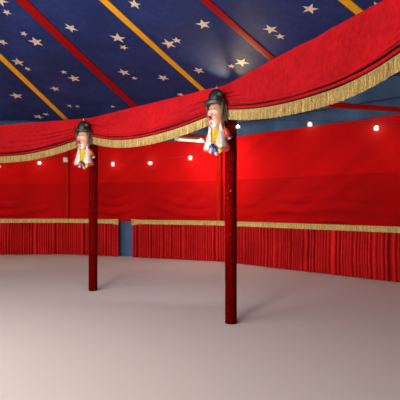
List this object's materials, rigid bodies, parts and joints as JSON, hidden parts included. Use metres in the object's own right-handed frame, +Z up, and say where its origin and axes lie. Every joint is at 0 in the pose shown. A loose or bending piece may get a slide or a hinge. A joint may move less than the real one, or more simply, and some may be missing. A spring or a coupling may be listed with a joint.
{
  "type": "circus big top tent",
  "caption": "Round big top with a banded starry canopy, double cloth wall, fringed velvet hangings, and sleeved poles that carry clown busts around a central king pole.",
  "frame": {"origin": "on the ground at the centre of the tent, in the middle of the box around it", "axes": "+Z up, the entrance bay faces -Y; bays are centred on the X and Y axes"},
  "size_m": [30.1494, 30.1494, 8.76],
  "materials": {
    "blue_canvas": "navy coated canvas with yellow and red bands and pale stars",
    "red_lining": "smooth red lining cloth",
    "red_velvet": "crushed red velvet with gold fringe",
    "sleeved_pole": "steel poles in red velvet sleeves and red wraps",
    "painted_resin": "painted semi-gloss resin",
    "galvanised_steel": "galvanised",
    "white_fitting": "white enamel and lit diffuser",
    "black_cable": "matt cable with warm glass bulbs"
  },
  "bodies": {
    "root": {"canopy_quarter_1": "blue_canvas", "canopy_quarter_2": "blue_canvas", "canopy_quarter_3": "blue_canvas", "canopy_quarter_4": "blue_canvas", "outer_wall_1": "blue_canvas", "outer_wall_2": "blue_canvas", "outer_wall_3": "blue_canvas", "outer_wall_4": "blue_canvas", "wall_lining_1": "red_lining", "wall_lining_2": "red_lining", "wall_lining_3": "red_lining", "wall_lining_4": "red_lining", "dado_curtain_1": "red_velvet", "dado_curtain_2": "red_velvet", "dado_curtain_3": "red_velvet", "dado_curtain_4": "red_velvet", "valance_1": "red_velvet", "valance_2": "red_velvet", "valance_3": "red_velvet", "valance_4": "red_velvet", "pole_frame_1": "sleeved_pole", "pole_frame_2": "sleeved_pole", "pole_frame_3": "sleeved_pole", "pole_frame_4": "sleeved_pole", "pole_frame_5": "sleeved_pole", "pole_frame_6": "sleeved_pole", "pole_frame_7": "sleeved_pole", "pole_frame_8": "sleeved_pole", "clown_bust_1": "painted_resin", "clown_bust_2": "painted_resin", "clown_bust_3": "painted_resin", "clown_bust_4": "painted_resin", "clown_bust_5": "painted_resin", "clown_bust_6": "painted_resin", "clown_bust_7": "painted_resin", "clown_bust_8": "painted_resin", "clown_bust_9": "painted_resin", "clown_bust_10": "painted_resin", "clown_bust_11": "painted_resin", "clown_bust_12": "painted_resin", "clown_bust_13": "painted_resin", "clown_bust_14": "painted_resin", "clown_bust_15": "painted_resin", "clown_bust_16": "painted_resin", "king_pole": "galvanised_steel", "crown_ring": "galvanised_steel", "cupola_cap": "blue_canvas", "batten_light_1": "white_fitting", "junction_box_1": "white_fitting", "batten_light_2": "white_fitting", "junction_box_2": "white_fitting", "batten_light_3": "white_fitting", "junction_box_3": "white_fitting", "batten_light_4": "white_fitting", "junction_box_4": "white_fitting", "festoon_string": "black_cable"}
  },
  "joints": []
}
